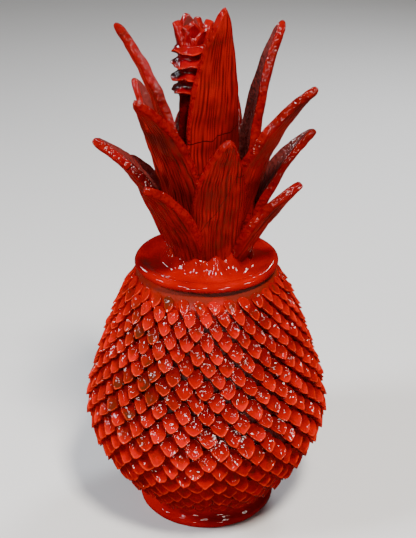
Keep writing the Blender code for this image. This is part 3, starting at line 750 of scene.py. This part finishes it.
def leaf_surface(centre, leaf, root_height, thickness, seed, rows, face_columns, rib_depth, marks):
    """A cupped slab along a bending spine. The spine's lean grows by bend · share^1.7 and its
    ends are fixed; the section is a rounded slab whose sides sink by cup · side², and grooves
    run along its outer face."""
    azimuth, root, reach, tip_height, bend, width, root_width = leaf
    azimuth, bend = math.radians(azimuth), math.radians(bend)
    outwards = np.array([math.sin(azimuth), -math.cos(azimuth), 0.0])
    upwards = np.array([0.0, 0.0, 1.0])
    sideways = np.cross(outwards, upwards)
    run_to = (reach - root) * MM
    climb_to = (tip_height - root_height) * MM
    fine = np.linspace(0.0, 1.0, SPINE_STEPS + 1)
    leans = bend * fine ** LEAF_BEND_GROWTH
    middles = 0.5 * (leans[1:] + leans[:-1])
    run = np.concatenate([[0.0], np.cumsum(np.sin(middles))])
    climb = np.concatenate([[0.0], np.cumsum(np.cos(middles))])
    scale = math.hypot(run_to, climb_to) / math.hypot(run[-1], climb[-1])
    start_lean = math.atan2(run_to, climb_to) - math.atan2(run[-1], climb[-1])
    length = scale * SPINE_STEPS
    share = 1 - np.linspace(0.0, 1.0, rows)[:, None] ** 1.25
    share[0] = 1 - 0.0005
    across = scale * np.interp(share, fine, run)
    along = scale * np.interp(share, fine, climb)
    lean = start_lean + bend * share ** LEAF_BEND_GROWTH
    sine, cosine = math.sin(start_lean), math.cos(start_lean)
    spine = (
        centre + outwards * (root * MM + along * sine + across * cosine)
        + upwards * (root_height * MM + along * cosine - across * sine)
    )
    face_out = outwards * np.cos(lean) - upwards * np.sin(lean)
    into_end = np.clip(share - (1 - LEAF_BLUNT_END), 0, None) / LEAF_BLUNT_END
    closing = np.sqrt(np.clip(1 - into_end ** 2, 0.0, 1.0))
    half_width = 0.5 * width * MM * leaf_width(share, root_width) * closing
    half_thick = 0.5 * thickness * MM * (1 - LEAF_THINNING * share) * np.maximum(closing, 0.1) ** 0.7
    corner = np.minimum(LEAF_ROUNDING, 0.7 * np.minimum(half_width, half_thick))
    side, side_arc, depth, depth_arc, outer, inner = slab_section(face_columns)
    a = side * (half_width - corner) + side_arc * corner
    b = depth * (half_thick - corner) + depth_arc * corner
    from_edge = half_width - np.abs(a)
    away = share * length + 0 * a
    flat = a * (width * MM * 0.5 / np.maximum(half_width, 1e-6)) ** 0.45
    groove = ribs(flat, away, seed) * outer
    fade = smooth_step(0.0, 0.10, share) * smooth_step(0.0, 0.035, 1 - share)
    edge_fade = smooth_step(0.0, 2.4 * MM, from_edge)
    groove = groove * fade * edge_fade
    bow = a ** 2 * (2 * LEAF_CUP / np.maximum(half_width, 1e-6))
    spots = np.stack([a, away, b], axis=-1)
    uneven = ripple(spots, 26 * MM, seed + 9) * 0.5 * MM + ripple(spots, 8 * MM, seed + 5) * 0.16 * MM
    relative = a / np.maximum(half_width, 1e-6)
    crack = np.full_like(a, FAR_FROM_CRACK)
    for mark_share, slant, wander, from_side, to_side in marks:
        line = mark_share + slant * relative + wander * ripple(
            np.stack([relative, 0 * relative, 0 * relative], axis=-1), 0.35, seed + 3)
        beside = np.maximum(from_side - relative, relative - to_side).clip(0.0) * width
        away_from_crack = (share - line) * length / MM + beside
        crack = np.where(np.abs(away_from_crack) < np.abs(crack), away_from_crack, crack)
    crack = np.where(inner > 0, FAR_FROM_CRACK, crack)
    offset_b = b - rib_depth * groove - bow + uneven * (0.4 + 0.6 * fade)
    offset_a = a + ripple(np.stack([away, b, a], axis=-1), 17 * MM, seed + 30) * 0.35 * MM * fade
    grid = spine[:, None, :] + sideways * offset_a[..., None] + face_out[:, None, :] * offset_b[..., None]
    tip = spine[0] + face_out[0] * (-bow[0].mean())
    base = spine[-1] - upwards * 0.5 * MM
    edges = 1 - outer - inner
    corner_light = 1 - smooth_step(0.3 * MM, 1.8 * MM, from_edge)
    near_root = smooth_step(0.0, 0.16, share)
    fields = {
        "rim": np.clip(edges * 0.10 + corner_light * 0.22 * outer, 0, 1) * near_root,
        "rough": np.clip(1 - outer * edge_fade, 0, 1),
        "deep": groove,
        "crack": crack,
        "dull": outer * smooth_step(0.2 * MM, 1.6 * MM, from_edge),
        "hollow": outer * 0.55 * (0.3 + 0.7 * share),
        "inner": np.broadcast_to(inner, a.shape),
    }
    return grid, tip, base, fields


def stack_surfaces(surfaces):
    """Join surfaces of the same grid into one batch."""
    grids, firsts, lasts, fields = zip(*surfaces)
    joined = {name: np.stack([one[name] for one in fields]) for name in fields[0]}
    return np.stack(grids), np.stack(firsts), np.stack(lasts), joined


def leaf_tier(tier):
    """All leaves of one tier."""
    sizes = LEAF_TIERS[tier]
    start = 100 * (1 + list(LEAF_TIERS).index(tier))
    return stack_surfaces([
        leaf_surface(
            np.zeros(3), leaf, sizes["root_height"], sizes["thickness"], start + 10 * number,
            LEAF_ROWS, LEAF_FACE_COLUMNS, RIB_DEPTH, LEAF_MARKS.get((tier, number), []),
        )
        for number, leaf in enumerate(sizes["leaves"])
    ])


def disc_surface(lid):
    """The lid's disc: a rolled edge, a dished top, the mound in its middle and the locating ring
    below, carried round the axis; the mound is pushed in and out in lumps."""
    seat, edge, radius = lid.seat, lid.edge, lid.radius
    top = seat + edge
    foot = lid.mound_radius
    rise = seat + lid.mound_height - top
    t = np.linspace(0.03, 1.0, 40)
    mound = np.stack([foot * 1.12 * t, top - 1.4 * MM + (rise + 1.4 * MM) * (1 - t ** 3.6) ** 1.15], 1)
    t = np.linspace(0.06, 1.0, 12)
    dish = np.stack([foot * 1.12 + (radius - 13.0 * MM - foot * 1.12) * t, top - 1.6 * MM - 0.3 * MM * t], 1)
    roll_in = np.array([(radius - 10.5 * MM, top - 1.5 * MM), (radius - 8 * MM, top - 0.7 * MM)])
    angle = np.linspace(0.56 * math.pi, -0.5 * math.pi, 16)
    roll = np.stack([
        radius - ROLL_REACH + ROLL_REACH * np.cos(angle), seat + 0.5 * edge + 0.5 * edge * np.sin(angle),
    ], 1)
    profile = np.vstack([mound, dish, roll_in, roll, RING_PROFILE + (0.0, seat)])
    grid, azimuth = lathe(profile, DISC_COLUMNS)
    upper_side = grid[..., 2] > seat + 2 * MM
    out = np.hypot(grid[..., 0], grid[..., 1])
    on_mound = (1 - smooth_step(0.86 * foot, 1.15 * foot, out)) * upper_side
    lumps = ripple(grid, 15 * MM, 61) * 2.0 * MM + ripple(grid, 7 * MM, 62) * 0.8 * MM
    grid[..., 2] += lumps * on_mound
    azimuths, away, spread, heights = MOUND_LUMPS.T
    middles = around(np.radians(azimuths), away * MM, 0.0)[:, :2]
    gaps = np.linalg.norm(grid[..., None, :2] - middles, axis=-1) / (spread * MM)
    pressed = (heights * MM * np.exp(-gaps ** 2)).sum(axis=-1)
    grid[..., 2] += pressed * upper_side
    wander = ripple(around(azimuth, 1.0, 0.0), 1.3, 63)
    outside = smooth_step(foot, 1.5 * foot, profile[:, 0])[:, None]
    grid[..., 2] += 0.35 * MM * wander * outside * (profile[:, 1:] > seat + 0.5 * MM)
    # Painted shade: the disc's underside and its locating ring are darkened
    below = (profile[:, 1] < seat + 0.3 * MM).astype(float)[:, None]
    fields = {
        "rim": 0.35 * np.clip(lumps / (2 * MM), 0, 1) * on_mound,
        "deep": (0.25 + 0.6 * np.clip(-lumps / (2 * MM), 0, 1)) * on_mound + 0.3 * below,
        "hollow": 0.7 * on_mound,
        "rough": on_mound,
    }
    return grid, np.array([0.0, 0.0, seat + lid.mound_height]), np.array([0.0, 0.0, seat]), fields


def stalk_surface(lid):
    """The stalk: a round column with four thick collars. A collar adds reach · exp(-|dz/w|^1.6)
    to the radius, and waves round the stalk push its edge in, out, up and down."""
    foot_z, foot_r = STALK_FOOT.T
    fine = np.linspace(COLLAR_HEIGHTS[0] - 8 * MM, STALK_TOP - 1 * MM, 118)
    heights = np.concatenate([np.linspace(foot_z[0], fine[0] - 1 * MM, 34), fine])[::-1]
    radius = np.interp(heights, foot_z, foot_r)
    azimuth = np.linspace(0.0, TURN, STALK_COLUMNS, endpoint=False)
    r = np.broadcast_to(radius[:, None], (len(heights), STALK_COLUMNS)).copy()
    z = np.broadcast_to(heights[:, None], r.shape).copy()
    lip = np.zeros_like(r)
    chance = np.random.default_rng(17)
    for height in COLLAR_HEIGHTS:
        phase = chance.uniform(0.0, TURN, 3)
        reach = lid.collar_reach * chance.uniform(0.75, 1.05)
        wave = 0.5 * np.sin(5 * azimuth + phase[0]) + 0.35 * np.sin(8 * azimuth + phase[1])
        flap = 0.5 * np.sin(4 * azimuth + phase[2])
        near = np.exp(-np.abs((heights[:, None] - height) / COLLAR_HALF_THICKNESS) ** 1.6)
        r += reach * near * (0.85 + 0.25 * wave)
        z += near ** 2 * MM * (2.2 * flap - 0.8)
        lip = np.maximum(lip, near)
    grid = around(azimuth, r, z)
    grid[..., :2] += STALK_PLACE
    grid += ripple(grid, 8 * MM, 71)[..., None] * np.array([0.35, 0.35, 0.2]) * MM
    fields = {
        "rim": 0.3 * smooth_step(0.80, 1.0, lip),
        "rough": 1.0,
        "deep": 0.3 * (1 - smooth_step(0.0, 0.5, lip)) * smooth_step(STALK_FOOT[3, 0], COLLAR_HEIGHTS[0], z),
        "hollow": 0.4,
    }
    top = np.array([*STALK_PLACE, STALK_TOP])
    base = np.array([*STALK_PLACE, foot_z[0] - 0.5 * MM])
    return grid, top, base, fields


def tuft_surfaces():
    """Short thick leaves pressed together on top of the stalk."""
    centre = np.array([*STALK_PLACE, 0.0])
    return stack_surfaces([
        leaf_surface(
            centre, prong, TUFT_ROOT_HEIGHT, TUFT_THICKNESS, TUFT_SEED + 10 * number, TUFT_ROWS,
            TUFT_FACE_COLUMNS, TUFT_RIB_DEPTH, [],
        )
        for number, prong in enumerate(TUFT_PRONGS)
    ])


class PINEAPPLE_OT_jar(bpy.types.Operator):
    """Build the jar's turned clay: wall, shoulder band, foot and hollow inside."""

    bl_idname = "pineapple.jar"
    bl_label = "Jar"

    def execute(self, context):
        scene = context.scene
        material = glaze(
            "red_glaze_on_pot", "body", scene.pineapple_glaze, 0.5, satin=1.0, reflection=0.15,
        )
        piece = closed_surface("jar_wall", *jar_wall(scene.pineapple_jar), material)
        place(piece, "jar")
        return {"FINISHED"}


class PINEAPPLE_OT_scales(bpy.types.Operator):
    """Build the pinched scales in three bands of rows."""

    bl_idname = "pineapple.scales"
    bl_label = "Scales"

    def execute(self, context):
        scene = context.scene
        material = glaze(
            "red_glaze_on_scales", "body", scene.pineapple_glaze, 0.36, 0.9, lip=(0.5, 0.95),
        )
        for band, (start, end) in SCALE_BANDS.items():
            surfaces = scale_tabs(scene.pineapple_jar, np.arange(start, end))
            piece = closed_surface(f"scales_{band}", *surfaces, material)
            add_subdivision(piece)
            place(piece, "jar")
        return {"FINISHED"}


class PINEAPPLE_OT_lid(bpy.types.Operator):
    """Build the lid's disc with its mound and locating ring."""

    bl_idname = "pineapple.lid"
    bl_label = "Lid"

    def execute(self, context):
        scene = context.scene
        material = glaze("red_glaze_on_lid", "lid", scene.pineapple_glaze, 0.9)
        piece = closed_surface("lid_disc", *disc_surface(scene.pineapple_lid), material)
        place(piece, "lid")
        return {"FINISHED"}


class PINEAPPLE_OT_leaves(bpy.types.Operator):
    """Build the four tiers of ribbed leaves."""

    bl_idname = "pineapple.leaves"
    bl_label = "Leaves"

    def execute(self, context):
        glazes = context.scene.pineapple_glaze
        combed = glaze(
            "satin_glaze_on_combed_leaf_faces", "leaf", glazes, 0.30, satin=0.25, cracked=True,
            reflection=0.12, pool=glazes.groove,
        )
        cut = glaze("shiny_glaze_on_cut_leaf_edges", "leaf_edge", glazes, 0.7, 0.8, cracked=True)
        for tier in LEAF_TIERS:
            piece = closed_surface(f"leaves_{tier}", *leaf_tier(tier), cut)
            glaze_faces(piece, combed)
            place(piece, "lid")
        return {"FINISHED"}


class PINEAPPLE_OT_stalk(bpy.types.Operator):
    """Build the stalk with its ruffled collars and the tuft on top."""

    bl_idname = "pineapple.stalk"
    bl_label = "Stalk"

    def execute(self, context):
        scene = context.scene
        material = glaze("red_glaze_on_stalk", "stalk", scene.pineapple_glaze, 0.5)
        surfaces = {"stalk": stalk_surface(scene.pineapple_lid), "stalk_tuft": tuft_surfaces()}
        for name, surface in surfaces.items():
            place(closed_surface(name, *surface, material), "lid")
        return {"FINISHED"}


def add_light(name, location, target, size, power, colour, glint):
    """A square light that faces a target: a glint is only mirrored in the glaze, and any other
    light is only a soft light on it."""
    light = bpy.data.lights.new(name, "AREA")
    light.shape = "SQUARE"
    light.size = size
    light.energy = power
    light.color = colour
    lamp = bpy.data.objects.new(name, light)
    lamp.location = location
    lamp.visible_glossy = glint
    lamp.visible_diffuse = not glint
    direction = np.array(target) - np.array(location)
    pitch = math.atan2(math.hypot(direction[0], direction[1]), -direction[2])
    lamp.rotation_euler = (pitch, 0.0, math.atan2(-direction[0], direction[1]))
    bpy.context.scene.collection.objects.link(lamp)


class PINEAPPLE_OT_stage(bpy.types.Operator):
    """Set the floor, the soft lights and the camera."""

    bl_idname = "pineapple.stage"
    bl_label = "Stage"

    def execute(self, context):
        stage = context.scene.pineapple_stage
        mesh = bpy.data.meshes.new("floor")
        reach = 4.0
        corners = [(x * reach, y * reach, 0) for x, y in ((-1, -1), (1, -1), (1, 1), (-1, 1))]
        mesh.from_pydata(corners, [], [(0, 1, 2, 3)])
        floor = bpy.data.objects.new("floor", mesh)
        context.scene.collection.objects.link(floor)
        material = bpy.data.materials.new("pale_floor")
        material.use_nodes = True
        shader = material.node_tree.nodes["Principled BSDF"]
        shader.inputs["Base Color"].default_value = (*stage.floor, 1.0)
        shader.inputs["Roughness"].default_value = 0.9
        mesh.materials.append(material)
        # The glaze mirrors only the small lamps, so its reds stay deep
        floor.visible_glossy = False
        world = bpy.data.worlds.new("soft_light")
        world.use_nodes = True
        background = world.node_tree.nodes["Background"]
        background.inputs["Color"].default_value = (1.0, 1.0, 1.0, 1.0)
        background.inputs["Strength"].default_value = stage.world
        context.scene.world = world
        middle = (0.0, 0.0, 0.25)
        warm, cool = (1.0, 0.93, 0.84), (0.92, 0.95, 1.0)
        add_light("key", (0.35, -0.85, 1.8), middle, 0.3, stage.key, warm, False)
        add_light("window", (-1.3, -0.5, 1.2), middle, 0.4, 0.52 * stage.key, cool, False)
        add_light("back", (0.8, 1.2, 1.3), middle, 0.5, 0.4 * stage.key, cool, False)
        for number, (x, y, z) in enumerate(SPOTS):
            tint = cool if x < SPOTS_COOL_FROM else warm
            add_light(f"spot_{number}", (x, y, z), middle, SPOT_SIZE, stage.spots, tint, True)
        camera = bpy.data.cameras.new("camera")
        camera.sensor_fit = "VERTICAL"
        camera.sensor_height = SENSOR_HEIGHT
        camera.lens = FOCAL_PIXELS / PICTURE_HEIGHT * SENSOR_HEIGHT
        eye = bpy.data.objects.new("camera", camera)
        eye.location = (0.0, -CAMERA_DISTANCE, CAMERA_HEIGHT)
        eye.rotation_euler = (
            math.radians(90 - CAMERA_PITCH), 0.0, -math.atan(AXIS_PIXELS / FOCAL_PIXELS),
        )
        context.scene.collection.objects.link(eye)
        context.scene.camera = eye
        return {"FINISHED"}


class PINEAPPLE_PT_panel(bpy.types.Panel):
    """Lists the pineapple's operators."""

    bl_label = "Glazed Clay Pineapple"
    bl_idname = "PINEAPPLE_PT_panel"
    bl_space_type = "VIEW_3D"
    bl_region_type = "UI"
    bl_category = "Pineapple"

    def draw(self, context):
        for operator in OPERATORS:
            self.layout.operator(operator.bl_idname)
        for group in GROUPS:
            settings = getattr(context.scene, group)
            for name in settings.__annotations__:
                self.layout.prop(settings, name)


OPERATORS = (
    PINEAPPLE_OT_jar,
    PINEAPPLE_OT_scales,
    PINEAPPLE_OT_lid,
    PINEAPPLE_OT_leaves,
    PINEAPPLE_OT_stalk,
    PINEAPPLE_OT_stage,
)
GROUPS = {
    "pineapple_jar": PineappleJar,
    "pineapple_lid": PineappleLid,
    "pineapple_glaze": PineappleGlaze,
    "pineapple_stage": PineappleStage,
}
CLASSES = (*GROUPS.values(), *OPERATORS, PINEAPPLE_PT_panel)


def register():
    for kind in CLASSES:
        bpy.utils.register_class(kind)
    for name, group in GROUPS.items():
        setattr(bpy.types.Scene, name, bpy.props.PointerProperty(type=group))


def unregister():
    for name in GROUPS:
        delattr(bpy.types.Scene, name)
    for kind in reversed(CLASSES):
        bpy.utils.unregister_class(kind)


def main():
    register()
    bpy.ops.pineapple.jar()
    bpy.ops.pineapple.scales()
    bpy.ops.pineapple.lid()
    bpy.ops.pineapple.leaves()
    bpy.ops.pineapple.stalk()
    bpy.ops.pineapple.stage()


if __name__ == "__main__":
    main()
